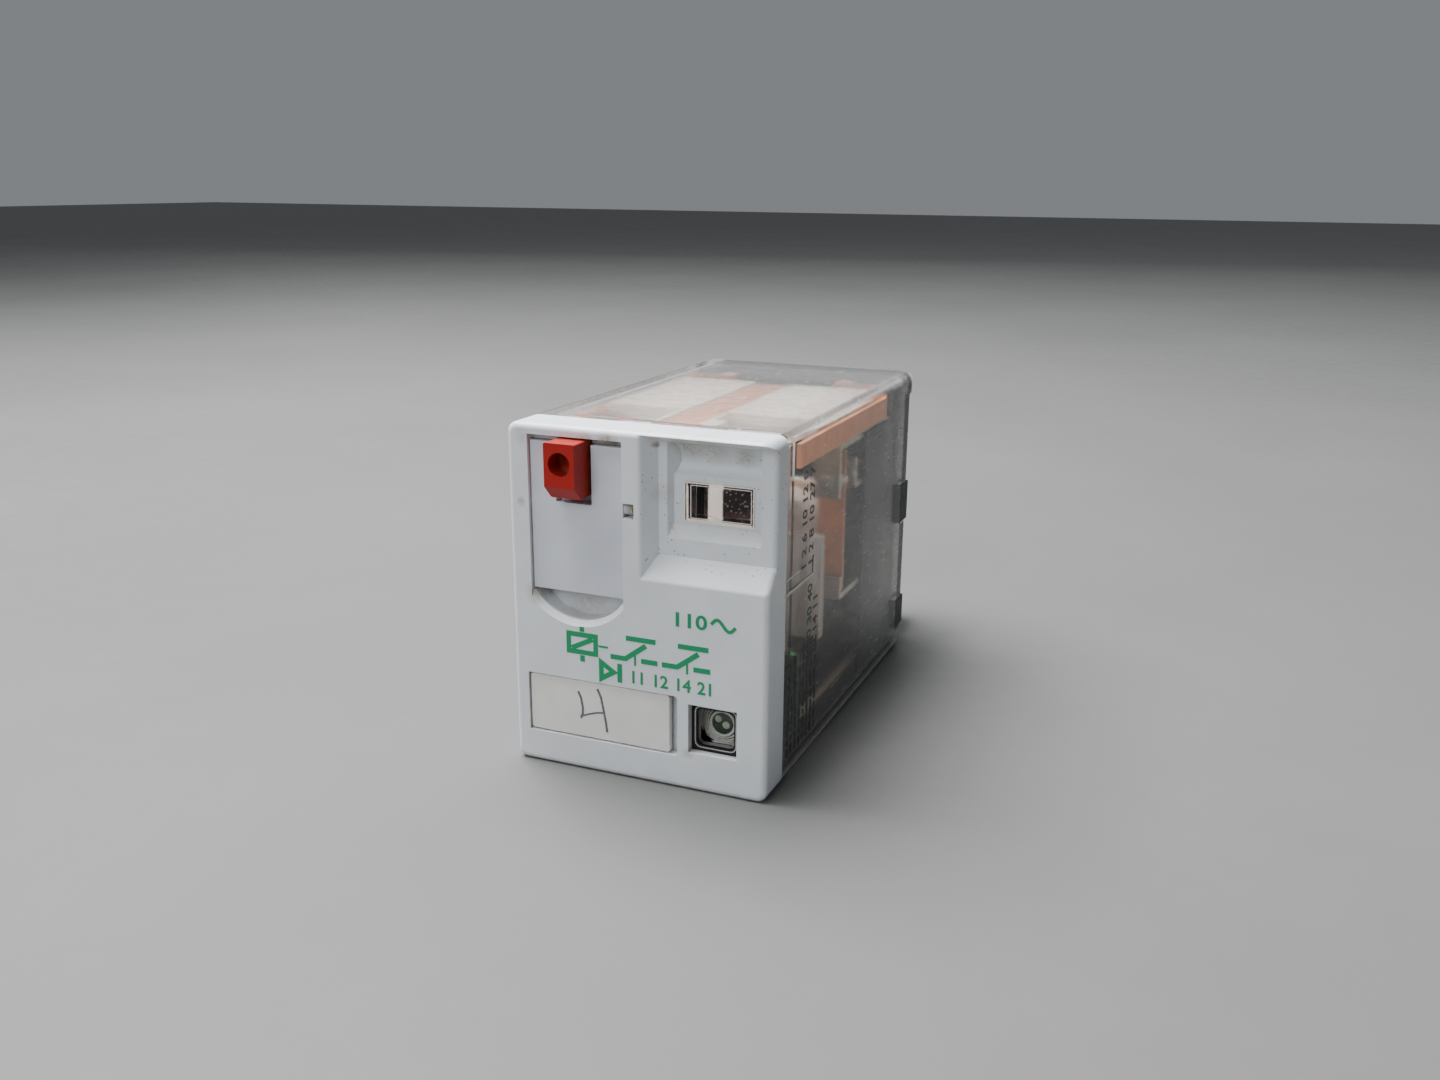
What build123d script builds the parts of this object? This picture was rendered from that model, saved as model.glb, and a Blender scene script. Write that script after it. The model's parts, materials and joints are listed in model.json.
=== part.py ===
"""Plug-in control relay with two change-over contacts, eight blades and a test button.

Lengths are millimetres. Every sub-part is laid out from the front face (Y = 0), the side that the
relay rests on (Z = 0) and its middle plane (X = 0), with +Y pointing back to the blades. Each node
is moved at export so that the origin is the centre of the base's seating plane.
"""
from build123d import *
import math
import os

# Overall size
WIDTH = 21.0
HEIGHT = 27.0
BODY_DEPTH = 39.6
BLADE_LENGTH = 6.4

# Front moulding
PLATE = 3.5                 # depth of the opaque face moulding
SPIGOT_END = 4.6            # rear end of its spigot, inside the clear cover
WALL = 0.9                  # clear cover wall
CORNER_R = 0.8              # corners of the face and of the clear cover
COVER_REAR = 37.0
RIM_REAR = 37.9             # the cover is longer along its top edge
RIM_Z = 25.0
SLIP = 0.15                 # gap round parts that slip into one another

# Door, button and their recess
DOOR_X = (-8.7, -1.04)
DOOR_Z = (14.3, 25.7)
DOOR_Y = (0.3, 1.2)
DOOR_RECESS_X = (-8.76, -0.98)
DOOR_RECESS_Z = (14.1, 26.2)
DOOR_RECESS_DEPTH = 1.35
DOOR_SWEEP_Z = (20.45, 25.78)   # heights that the door's upper half passes as it turns in
SLOT_X = (-6.57, -3.6)
SLOT_BOTTOM = 21.2
PIVOT_Y = 0.8
PIVOT_Z = 21.12
TRUNNION_R = 0.4
NOTCH_Z = (20.55, 21.7)
FINGER_ARC_BOTTOM = 12.1
FINGER_DEPTH = 2.0
BUTTON_X = -5.12
BUTTON_WIDTH = 2.5
BUTTON_Z = (21.8, 26.05)
BUTTON_FRONT = -1.75
BUTTON_HEAD_END = 2.6
STEM_R = 0.7
STEM_Z = 24.0

# Clip recess, open to the right, and flag window
RECESS_DEPTH = 1.4
RECESS_LEFT = (0.45, 1.3)   # at the face, and at the recess's floor
RECESS_BOTTOM = (16.15, 17.8)
RECESS_TOP = (26.85, 26.25)
PANEL_X = (2.0, 9.3)
PANEL_DEPTH = 2.0
WINDOW_X = (3.05, 8.56)
WINDOW_Z = (20.31, 23.34)
WINDOW_REAR = 4.4           # rear face of the clear plug in the window

# Legend recess and LED hole
LEGEND_RECESS_X = (-9.3, 3.4)
LEGEND_RECESS_Z = (2.6, 7.4)
LEGEND_RECESS_DEPTH = 0.95
LED_HOLE_X = (4.28, 8.16)
LED_HOLE_Z = (3.08, 6.94)
LED_X = (LED_HOLE_X[0] + LED_HOLE_X[1]) / 2
LED_Z = (LED_HOLE_Z[0] + LED_HOLE_Z[1]) / 2
LED_R = 2.0
LED_TIP = 2.6
CUP_R = 0.85
CUP_Y = (3.7, 4.6)
HOLDER_HALF = 2.35
HOLDER_Y = (2.9, 8.9)

# Clear cover's front wall
WINDOW_WALL = (5.7, 6.2)

# Magnet: the coil's axis runs along Y
AXIS_Z = 11.0
CORE_R = 3.0
POLE_R = 4.0
POLE_FACE = 13.3
BOBBIN = (13.8, 30.6)
FLANGE = 1.0
FLANGE_X = 6.2
FLANGE_HALF_Z = 6.5
TUBE_R = 3.6
WINDING_R = 5.9
TAPE_R = 6.05
YOKE_Y = (12.9, 32.4)
YOKE_Z = (1.5, 3.3)
YOKE_X = 5.5
YOKE_LEG = 1.6

# Armature
ARMATURE_Y = (11.0, 12.4)
ARMATURE_X = 6.0
ARMATURE_Z = (2.6, 20.5)
ARMATURE_PIVOT = (11.7, 3.2)
HEAD_Z = (19.2, 24.7)

# Card that carries the motion to the contacts
CARD_X = 8.9
CARD_Y = (13.2, 28.5)
CARD_Z = (24.9, 25.8)
TONGUE_X = 2.1
CHANNEL_X = 1.7             # half width of the groove that the copper strip lies in
TONGUE_START = 7.6

# Status flag
FLAG_X = 4.2
FLAG_Y = 9.4
FLAG_R = 2.4
FLAG_Z = (19.3, 22.0)
FLAG_PIN_R = 2.1
FLAG_PIN_ANGLE = 20.9       # degrees that the pin starts ahead of the X axis

# copper straps beside and behind the card
STRAP_X = (9.1, 9.45)
STRAP_Y = (8.0, 31.2)

# Contacts, all mirrored left to right
STRIP_X = (6.9, 9.2)
STRIP = 0.5
JOG = 0.55                  # length of the part that joins a strip to its blade
BLADE_X = (5.3, 7.9)
SPRING_Y = (20.0, 20.3)
SPRING_Z = (10.7, 22.7)
CONTACT_Z = 20.2
CONTACT_R = 1.15
CONTACT_HEAD = 0.5
SHANK_R = 0.6
ROW_Z = {"nc": 23.25, "no": 19.15, "com": 10.1, "coil": 3.75}

# Base
BASE_FRONT = 33.0
BASE_INNER = (9.45, 1.05)   # half width, and height above the resting side
SLOT_GAP = 0.1


def box(x, y, z):
    """A block between two X, two Y and two Z planes."""
    size = (x[1] - x[0], y[1] - y[0], z[1] - z[0])
    middle = ((x[0] + x[1]) / 2, (y[0] + y[1]) / 2, (z[0] + z[1]) / 2)
    return Pos(*middle) * Box(*size)


def wide_box(half_x, y, z):
    """A block that is centred on the middle plane."""
    return box((-half_x, half_x), y, z)


def rod_y(radius, y, x, z):
    """A round rod along Y."""
    return Pos(x, (y[0] + y[1]) / 2, z) * Rot(90, 0, 0) * Cylinder(radius, y[1] - y[0])


def rod_x(radius, x, y, z):
    """A round rod along X."""
    return Pos((x[0] + x[1]) / 2, y, z) * Rot(0, 90, 0) * Cylinder(radius, x[1] - x[0])


def rod_z(radius, z, x, y):
    """A round rod along Z."""
    return Pos(x, y, (z[0] + z[1]) / 2) * Cylinder(radius, z[1] - z[0])


def grown(span, gap):
    """A span made longer by a gap at both ends, or shorter by a negative one."""
    return (span[0] - gap, span[1] + gap)


def both_sides(shape):
    """A shape and its mirror image in the middle plane."""
    return [shape, mirror(shape, about=Plane.YZ)]


def prism_x(points, x):
    """A (Y, Z) outline drawn out along X."""
    outline = Polyline(*[(x[0], y, z) for y, z in points], close=True)
    return extrude(make_face(outline), amount=x[1] - x[0], dir=(1, 0, 0))


def prism_z(points, z):
    """An (X, Y) outline drawn out along Z."""
    outline = Polyline(*[(x, y, z[0]) for x, y in points], close=True)
    return extrude(make_face(outline), amount=z[1] - z[0], dir=(0, 0, 1))


def bent_wire(points, radius):
    """A round wire through a list of points, with small bends."""
    path = FilletPolyline(*points, radius=3 * radius)
    start = Plane(origin=path @ 0, z_dir=path % 0)
    return sweep(start * Circle(radius), path=path)


def edge_near(shape, x, y, z):
    """The edge whose middle is closest to a point."""
    return shape.edges().sort_by_distance((x, y, z))[0]


def long_edges(shape):
    """The edges that run along Y."""
    return shape.edges().filter_by(Axis.Y)


def front_cover():
    """Face moulding with its recesses, windows and the spigot that plugs into the clear cover."""
    plate = wide_box(WIDTH / 2, (0, PLATE), (0, HEIGHT))
    plate = fillet(long_edges(plate), CORNER_R)
    plate = fillet(plate.faces().sort_by(Axis.Y)[0].edges(), 0.45)
    plate = cut_clip_recess(plate)
    inside = WALL + SLIP
    body = plate + wide_box(WIDTH / 2 - inside, (PLATE, SPIGOT_END), (inside, HEIGHT - inside))
    body = body - clip_panel() - box(WINDOW_X, (0, SPIGOT_END), WINDOW_Z)

    body = body - door_recess() - finger_recess()
    legend = box(LEGEND_RECESS_X, (0, LEGEND_RECESS_DEPTH), LEGEND_RECESS_Z)
    body -= fillet(long_edges(legend).group_by(Axis.X)[-1], 0.3)
    body -= box(LED_HOLE_X, (0, SPIGOT_END), LED_HOLE_Z)
    return body - box((-8.9, 9.0), (2.4, SPIGOT_END), (1.8, 11.9))


def door_recess():
    """What the door, its trunnions, its swing and the button take out of the face."""
    shallow = 0.8
    recess = box(DOOR_RECESS_X, (0, shallow), DOOR_RECESS_Z)
    recess += box(DOOR_RECESS_X, (0, DOOR_RECESS_DEPTH), (DOOR_RECESS_Z[0], DOOR_SWEEP_Z[1]))
    opening = box(DOOR_RECESS_X, (0, SPIGOT_END), DOOR_SWEEP_Z)
    sill_top = BUTTON_Z[0] - SLIP
    sill = box(grown(SLOT_X, -0.05), (1.4, SPIGOT_END), (DOOR_SWEEP_Z[0], sill_top))
    half_width = BUTTON_WIDTH / 2 + SLIP
    button_x = (BUTTON_X - half_width, BUTTON_X + half_width)
    way_in = box(button_x, (0, SPIGOT_END), (sill_top, DOOR_RECESS_Z[1]))
    notch = box((DOOR_RECESS_X[1], -0.05), (0, DOOR_RECESS_DEPTH), NOTCH_Z)
    socket = rod_x(TRUNNION_R + 0.06, (-9.25, DOOR_RECESS_X[0]), PIVOT_Y, PIVOT_Z)
    return recess + (opening - sill) + way_in + notch + socket


def finger_recess():
    """Round-bottomed recess with a flared rim below the door, for the nail that lifts it."""
    half_chord = (DOOR_RECESS_X[1] - DOOR_RECESS_X[0]) / 2
    rise = DOOR_Z[0] - FINGER_ARC_BOTTOM
    radius = (half_chord ** 2 + rise ** 2) / (2 * rise)
    middle_x = (DOOR_RECESS_X[0] + DOOR_RECESS_X[1]) / 2
    middle_z = FINGER_ARC_BOTTOM + radius
    flare = 0.4
    disc = rod_y(radius, (0, FINGER_DEPTH), middle_x, middle_z)
    rim = Pos(middle_x, flare / 2, middle_z) * Rot(90, 0, 0) * Cone(radius, radius + flare, flare)
    below_door = (FINGER_ARC_BOTTOM - 1, DOOR_Z[0])
    return (disc + rim) & box(DOOR_RECESS_X, (0, FINGER_DEPTH), below_door)


def cut_clip_recess(plate):
    """Cuts the hold-down clip's recess, with slanted walls and rounded edges, out of the plate."""
    outside = WIDTH / 2 + 0.5
    outlines = []
    for end, y in ((0, 0), (1, RECESS_DEPTH)):
        left, low, high = RECESS_LEFT[end], RECESS_BOTTOM[end], RECESS_TOP[end]
        corners = [(left, y, low), (outside, y, low), (outside, y, high), (left, y, high)]
        outlines.append(make_face(Polyline(*corners, close=True)))
    plate -= loft(outlines)
    ledge = edge_near(plate, WIDTH / 4, 0, RECESS_BOTTOM[0])
    left = edge_near(plate, RECESS_LEFT[0], 0, (RECESS_BOTTOM[0] + RECESS_TOP[0]) / 2)
    plate = fillet([ledge, left], 0.35)
    return plate - side_rounding()


def side_rounding():
    """What rounds the edge between the clip recess's floor and the side of the plate."""
    radius = 0.4
    x = WIDTH / 2 - radius
    z = (RECESS_BOTTOM[1], RECESS_TOP[1])
    corner = box((x, WIDTH / 2), (RECESS_DEPTH, RECESS_DEPTH + radius), z)
    return corner - rod_z(radius, z, x, RECESS_DEPTH + radius)


def clip_panel():
    """Sunk panel round the flag window, with a sloped lower edge and a scoop along its top."""
    section = [
        (RECESS_DEPTH, 19.15),
        (PANEL_DEPTH, WINDOW_Z[0] - 0.2),
        (PANEL_DEPTH, RECESS_TOP[1] - 0.1),
        (RECESS_DEPTH, RECESS_TOP[1] - 0.1),
    ]
    scoop_r = 1.3
    scoop = rod_x(scoop_r, PANEL_X, RECESS_DEPTH - 0.05, RECESS_TOP[1] - scoop_r)
    deepest = RECESS_DEPTH + scoop_r
    left = [
        (PANEL_X[0], RECESS_DEPTH - 0.7),
        (PANEL_X[1], RECESS_DEPTH - 0.7),
        (PANEL_X[1], deepest),
        (PANEL_X[0] + 0.6, deepest),
        (PANEL_X[0], RECESS_DEPTH),
    ]
    return (prism_x(section, PANEL_X) + scoop) & prism_z(left, (18.0, RECESS_TOP[1]))


def lock_door():
    """Flap that locks the test button down when it is lifted, on two trunnions."""
    flap = box(DOOR_X, DOOR_Y, DOOR_Z)
    flap = fillet(flap.faces().sort_by(Axis.Y)[0].edges(), 0.06)
    flap -= box(SLOT_X, DOOR_Y, (SLOT_BOTTOM, DOOR_Z[1]))
    flap += rod_x(TRUNNION_R, (DOOR_X[0] - 0.45, DOOR_X[0] + 0.5), PIVOT_Y, PIVOT_Z)
    flap += rod_x(TRUNNION_R, (DOOR_X[1] - 0.5, DOOR_X[1] + 0.7), PIVOT_Y, PIVOT_Z)
    return flap


def test_button():
    """Push button with a round hole in its face, a stem and a retaining collar."""
    side = (BUTTON_X - BUTTON_WIDTH / 2, BUTTON_X + BUTTON_WIDTH / 2)
    chamfer_size = 1.0
    head = box(side, (BUTTON_FRONT, BUTTON_HEAD_END), BUTTON_Z)
    front = head.faces().sort_by(Axis.Y)[0]
    head = chamfer(front.edges().sort_by(Axis.Z)[0], chamfer_size)
    head = fillet(long_edges(head), 0.15)
    head -= rod_y(0.89, (BUTTON_FRONT, BUTTON_FRONT + 1.6), BUTTON_X, 24.5)
    stem = rod_y(STEM_R, (BUTTON_HEAD_END, ARMATURE_Y[0] - 0.55), BUTTON_X, STEM_Z)
    collar = rod_y(STEM_R + 0.3, (WINDOW_WALL[1] + 0.2, WINDOW_WALL[1] + 0.7), BUTTON_X, STEM_Z)
    return head + stem + collar


def button_spring():
    """Compression spring between the button's head and the clear front wall."""
    wire_r = 0.13
    mean_r = 1.0
    turns = 4
    length = WINDOW_WALL[0] - BUTTON_HEAD_END - 2 * wire_r - 0.04
    path = Helix(pitch=length / turns, height=length, radius=mean_r)
    coil = sweep(Plane(origin=path @ 0, z_dir=path % 0) * Circle(wire_r), path=path)
    return Pos(BUTTON_X, BUTTON_HEAD_END + wire_r + 0.02, STEM_Z) * Rot(-90, 0, 0) * coil


def legend_plate():
    """Removable identification plate on two rails."""
    rear = 0.55
    plate = box((-9.2, 2.7), (0.12, rear), grown(LEGEND_RECESS_Z, -0.1))
    plate = fillet(long_edges(plate), 0.25)
    plate = fillet(plate.faces().sort_by(Axis.Y)[0].edges(), 0.1)
    for x in ((-8.4, -7.6), (1.0, 1.8)):
        plate += box(x, (rear, LEGEND_RECESS_DEPTH), grown(LEGEND_RECESS_Z, -0.5))
    return plate


def clear_cover():
    """Clear shell with a front wall, the flag window plug, the LED block and shallow side grips."""
    outer = wide_box(WIDTH / 2, (PLATE, RIM_REAR), (0, HEIGHT))
    outer = fillet(long_edges(outer), CORNER_R) - wide_box(WIDTH / 2, (COVER_REAR, RIM_REAR), (0, RIM_Z))
    inner = wide_box(WIDTH / 2 - WALL, (PLATE, RIM_REAR), (WALL, HEIGHT - WALL))
    inner = fillet(long_edges(inner), 0.25)
    spigot_seat = wide_box(WIDTH / 2 - WALL, (PLATE, SPIGOT_END), (WALL, HEIGHT - WALL))
    shell = outer - inner - spigot_seat
    wall = wide_box(WIDTH / 2 - WALL, WINDOW_WALL, (WALL, HEIGHT - WALL))
    wall -= box((1.4, WINDOW_X[1] - 0.5), WINDOW_WALL, (18.7, WINDOW_Z[1] - 0.5))
    wall -= rod_y(STEM_R + 0.08, WINDOW_WALL, BUTTON_X, STEM_Z)
    wall -= led_square(0.07, WINDOW_WALL)
    body = shell + wall + window_plug() + flag_lugs() + led_block()
    grip = box((WIDTH / 2 - 0.1, WIDTH / 2), (PLATE, 9.8), (15.1, 16.6))
    grip = chamfer(grip.faces().sort_by(Axis.X)[0].edges(), 0.09)
    for notch in both_sides(grip) + base_lugs(0.08):
        body -= notch
    return body


def window_plug():
    """Bevelled clear plug that fills the flag window, joined to the front wall above and beside it."""
    gap = 0.05
    x = grown(WINDOW_X, -gap)
    z = grown(WINDOW_Z, -gap)
    plug = box(x, (PANEL_DEPTH, WINDOW_REAR), z)
    plug = chamfer(plug.faces().sort_by(Axis.Y)[0].edges(), 0.3)
    behind = (WINDOW_REAR, WINDOW_WALL[0])
    return plug + box(x, behind, (z[1] - 0.45, z[1])) + box((x[1] - 0.45, x[1]), behind, z)


def led_square(gap, y):
    """A square block on the LED's axis, larger than the LED holder by a gap."""
    half = HOLDER_HALF + gap
    return box((LED_X - half, LED_X + half), y, (LED_Z - half, LED_Z + half))


def led_block():
    """Clear pane with a raised rim that fills the LED hole, on a square tube round the holder."""
    flange_y = (2.45, 2.8)
    rim = 0.37
    outline_x = grown(LED_HOLE_X, -0.06)
    outline_z = grown(LED_HOLE_Z, -0.06)
    block = fillet(long_edges(box(outline_x, (0.9, flange_y[0]), outline_z)), 0.45)
    well = box(grown(outline_x, -rim), (0.9, 1.45), grown(outline_z, -rim))
    cavity = box(grown(outline_x, -rim), (1.95, flange_y[0]), grown(outline_z, -rim))
    block = block - fillet(long_edges(well), 0.35) - cavity
    flange = led_square(0.37, flange_y) - rod_y(1.4, flange_y, LED_X, LED_Z)
    behind = (flange_y[1], WINDOW_WALL[0])
    return block + flange + (led_square(0.37, behind) - led_square(0.07, behind))


def flag_lugs():
    """Two lugs behind the clear front wall, with the holes that the flag's shaft turns in."""
    lug_x = (FLAG_X - 0.8, FLAG_X + 0.8)
    lug_y = (WINDOW_WALL[1], FLAG_Y + 0.9)
    lower, upper = flag_lug_heights()
    lugs = box(lug_x, lug_y, lower) + box(lug_x, lug_y, upper)
    return lugs - rod_z(0.46, (lower[0], upper[1]), FLAG_X, FLAG_Y)


def flag_lug_heights():
    """Z spans of the lug below the drum and of the one above it."""
    gap, thickness = 0.95, 0.7
    below = FLAG_Z[0] - gap
    above = FLAG_Z[1] + gap
    return (below - thickness, below), (above, above + thickness)


def status_flag():
    """Drum that shows its pale or its dark side in the window."""
    drum = rod_z(FLAG_R, FLAG_Z, FLAG_X, FLAG_Y)
    drum -= box((0, 9), (FLAG_Y + 0.6, FLAG_Y + 3), FLAG_Z)
    lower, upper = flag_lug_heights()
    shaft = rod_z(0.38, (lower[0] + 0.1, upper[1] - 0.1), FLAG_X, FLAG_Y)
    angle = math.radians(FLAG_PIN_ANGLE)
    pin_x = FLAG_X - FLAG_PIN_R * math.cos(angle)
    pin_y = FLAG_Y - FLAG_PIN_R * math.sin(angle)
    pin = rod_z(0.25, (FLAG_Z[1], 24.6), pin_x, pin_y)
    return drum + shaft + pin


def led():
    """Clear LED with a shallow dome, moulded round its lead frame."""
    dome_r = 2.9
    rear = 8.2
    dome = Pos(LED_X, LED_TIP + dome_r, LED_Z) * Sphere(dome_r)
    body = rod_y(LED_R, (LED_TIP, rear), LED_X, LED_Z)
    front = body & dome
    straight = rod_y(LED_R, (LED_TIP + dome_r, rear), LED_X, LED_Z)
    pocket = rod_y(CUP_R + 0.02, (CUP_Y[0], CUP_Y[1] + 0.02), LED_X, LED_Z)
    legs = [led_leg(side, 0.02) for side in (-1, 1)]
    return front + straight - pocket - legs[0] - legs[1]


def led_frame():
    """Lead frame with the reflector cup."""
    cup = rod_y(CUP_R, CUP_Y, LED_X, LED_Z)
    cup -= Pos(LED_X, CUP_Y[0] + 0.25, LED_Z) * Rot(90, 0, 0) * Cone(0.4, 0.72, 0.5)
    return cup + led_leg(-1, 0) + led_leg(1, 0)


def led_leg(side, gap):
    """One square lead of the LED, thicker by a gap all round."""
    half = 0.25 + gap
    x = LED_X + side * 0.55
    return box((x - half, x + half), (CUP_Y[1] - gap, 9.0), (LED_Z - half, LED_Z + half))


def led_holder():
    """Black square sleeve round the LED."""
    bore = rod_y(LED_R + 0.1, HOLDER_Y, LED_X, LED_Z)
    return led_square(0, HOLDER_Y) - bore


def led_board():
    """Small circuit board behind the front wall."""
    return box((-3.5, 9.2), (9.0, 9.8), (1.5, 8.4))


def led_resistor():
    """Axial resistor standing on the board."""
    return axial_part(-1.6, 0.75)


def led_diode():
    """Axial diode beside the resistor."""
    return axial_part(1.4, 0.6)


def axial_part(x, radius):
    """Axial component with a body and two bent leads, lying up the board."""
    y = 9.0 - radius
    body = rod_z(radius, (3.4, 6.4), x, y)
    wire = bent_wire([(x, 9.0, 2.2), (x, y, 2.2), (x, y, 7.6), (x, 9.0, 7.6)], 0.18)
    return body + wire


def led_wires():
    """Two insulated wires from the board to the coil terminals."""
    wire_r = 0.3
    wire = bent_wire([(8.4, 9.8, 2.2), (8.4, 31.0, 2.2), (7.6, 31.0, 3.5)], wire_r)
    return both_sides(wire)


def bobbin():
    """Coil former with a bore for the core and a wing on each side of its front flange."""
    rear = (BOBBIN[1] - FLANGE, BOBBIN[1])
    z = (AXIS_Z - FLANGE_HALF_Z, AXIS_Z + FLANGE_HALF_Z)
    body = rod_y(TUBE_R, BOBBIN, 0, AXIS_Z)
    for span in ((BOBBIN[0], BOBBIN[0] + FLANGE), rear):
        body += fillet(long_edges(wide_box(FLANGE_X, span, z)), 0.8)
    for wing in both_sides(box((FLANGE_X - 0.5, 9.3), (BOBBIN[0], BOBBIN[0] + FLANGE), (8.2, 16.8))):
        body += wing
    return body - rod_y(CORE_R, BOBBIN, 0, AXIS_Z)


def ring_y(outer, inner, y):
    """A tube along the coil's axis."""
    return rod_y(outer, y, 0, AXIS_Z) - rod_y(inner, y, 0, AXIS_Z)


def coil_winding():
    """Copper winding, as one ring."""
    return ring_y(WINDING_R, TUBE_R, (BOBBIN[0] + FLANGE, BOBBIN[1] - FLANGE))


def coil_tape():
    """Insulating tape round the winding."""
    return ring_y(TAPE_R, WINDING_R, (BOBBIN[0] + FLANGE + 0.1, BOBBIN[1] - FLANGE - 0.1))


def coil_leads():
    """Wires from the winding to the coil terminals."""
    y = BOBBIN[1]
    turn = y + 0.9
    wire = bent_wire([(5.9, y, 6.4), (5.9, turn, 6.4), (5.9, turn, 4.9), (6.6, turn, 4.08)], 0.12)
    return both_sides(wire)


def shading_frame():
    """Square copper ring let into the pole face."""
    y = (POLE_FACE, POLE_FACE + 0.45)
    return wide_box(2.6, y, (11.9, 14.3)) - wide_box(2.0, y, (12.5, 13.7))


def iron_core():
    """Core with a pole disc at the armature's end."""
    core = rod_y(CORE_R, (POLE_FACE, YOKE_Y[1]), 0, AXIS_Z)
    pole = rod_y(POLE_R, (POLE_FACE, BOBBIN[0]), 0, AXIS_Z)
    return core + pole - shading_frame()


def yoke():
    """L-shaped iron yoke under and behind the coil."""
    plate = wide_box(YOKE_X, YOKE_Y, YOKE_Z)
    leg = wide_box(YOKE_X, (YOKE_Y[1] - YOKE_LEG, YOKE_Y[1]), (YOKE_Z[1], 16.5))
    return plate + leg - rod_y(CORE_R, (YOKE_Y[1] - YOKE_LEG, YOKE_Y[1]), 0, AXIS_Z)


def armature():
    """Iron plate that swings on the yoke's front edge."""
    plate = wide_box(ARMATURE_X, ARMATURE_Y, ARMATURE_Z)
    return fillet(plate.edges().filter_by(Axis.X), 0.3)


def armature_head():
    """Plastic head moulded on the armature's top, with a peg for the card."""
    y = (ARMATURE_Y[0] - 0.4, ARMATURE_Y[1] + 0.4)
    head = wide_box(7.0, y, HEAD_Z) - wide_box(ARMATURE_X, ARMATURE_Y, (HEAD_Z[0], ARMATURE_Z[1]))
    return head + wide_box(0.9, (11.2, 12.2), (HEAD_Z[1], 25.3))


def armature_clip():
    """Leaf clip that holds the armature on the yoke's edge."""
    leaf = 0.3
    foot = wide_box(2.0, (10.4, 20.0), (YOKE_Z[0] - leaf, YOKE_Z[0]))
    front = wide_box(2.0, (10.4, 10.4 + leaf), (YOKE_Z[0], 5.2))
    return foot + front


def contact_card():
    """Card that slides back with the armature and pushes both contact springs and the flag."""
    card = wide_box(CARD_X, CARD_Y, CARD_Z)
    card += wide_box(TONGUE_X, (TONGUE_START, CARD_Y[0]), CARD_Z)
    card -= wide_box(CHANNEL_X, (TONGUE_START, CARD_Y[1]), (CARD_Z[1] - 0.45, CARD_Z[1]))
    card -= wide_box(1.1, (11.0, 12.4), (CARD_Z[0], CARD_Z[1] - 0.45))
    card += box((TONGUE_X, 3.2), (TONGUE_START, 9.8), CARD_Z)
    for prong_y in ((8.02, 8.27), (9.03, 9.43)):
        card += box((1.6, 3.2), prong_y, (24.35, CARD_Z[0]))
    leg = box((5.8, 6.6), (18.8, 19.8), (21.8, CARD_Z[0]))
    for side in both_sides(leg):
        card += side
    return card


def card_strip():
    """Copper strip along the card's channel."""
    strip_z = (CARD_Z[1] - 0.42, CARD_Z[1] - 0.17)
    strip = wide_box(CHANNEL_X - 0.1, (TONGUE_START, CARD_Y[1]), strip_z)
    for y in card_rivet_places():
        strip -= rod_z(0.3, CARD_Z, 0, y)
    return strip


def card_rivet_places():
    """Y of each rivet that holds the strip."""
    return (15.0, 20.85, 26.7)


def card_rivets():
    """Small pegs through the strip."""
    rivets = [rod_z(0.3, (CARD_Z[1] - 0.45, CARD_Z[1] - 0.05), 0, y) for y in card_rivet_places()]
    return rivets


def side_strap():
    """Right-hand copper strap along the cover's wall, turned inwards behind the card."""
    strap = box(STRAP_X, STRAP_Y, (23.65, 25.5))
    strap += box((5.0, STRAP_X[1]), (STRAP_Y[1] - 0.4, STRAP_Y[1]), (24.0, 25.8))
    return strap + box((5.0, 6.4), (STRAP_Y[1], BASE_FRONT), (25.2, 25.8))


def flag_screen():
    """Dark angled screen beside the flag's drum, standing on the clear front wall."""
    z = (FLAG_Z[0] - 1.65, FLAG_Z[1] + 1.65)
    rear = FLAG_Y + 0.9
    return box((-2.6, 1.5), (rear, rear + 0.2), z) + box((-2.6, -2.3), (WINDOW_WALL[1], rear), z)


def terminal(row, inner):
    """One right-hand terminal: a chamfered blade, a widened part and what is joined to it inside."""
    z = (ROW_Z[row] - STRIP / 2, ROW_Z[row] + STRIP / 2)
    tip = BODY_DEPTH + BLADE_LENGTH
    blade = box(BLADE_X, (BASE_FRONT, tip), z)
    ends = blade.faces().sort_by(Axis.Y)[-1].edges().filter_by(Axis.Z)
    blade = chamfer(ends, 0.7)
    return blade + inner


def arm(row, front):
    """Strip that runs forward from the base, with the jog that joins it to the blade."""
    z = (ROW_Z[row] - STRIP / 2, ROW_Z[row] + STRIP / 2)
    jog = box((BLADE_X[0], STRIP_X[1]), (BASE_FRONT - JOG, BASE_FRONT), z)
    return jog + box(STRIP_X, (front, BASE_FRONT - JOG), z)


def nc_strip_y():
    """Y span of the normally closed contact's downturned end."""
    back = SPRING_Y[0] - 2 * CONTACT_HEAD - 0.05
    return (back - STRIP, back)


def no_strip_y():
    """Y span of the normally open contact's upturned end."""
    front = 22.85
    return (front, front + STRIP)


def nc_terminal():
    """Normally closed terminal, bent down at its front end."""
    y = nc_strip_y()
    bent = box(STRIP_X, y, (18.9, ROW_Z["nc"])) - rivet_hole(y)
    return terminal("nc", arm("nc", y[0]) + bent)


def no_terminal():
    """Normally open terminal, bent up at its front end."""
    y = no_strip_y()
    return terminal("no", arm("no", y[0]) + box(STRIP_X, y, (ROW_Z["no"], 21.6))) - rivet_hole(y)


def com_terminal():
    """Common terminal, bent up in front of the moving spring's root."""
    y = (SPRING_Y[0] - 0.1 - STRIP, SPRING_Y[0] - 0.1)
    return terminal("com", arm("com", y[0]) + box(STRIP_X, y, (ROW_Z["com"], 11.8)))


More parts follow.
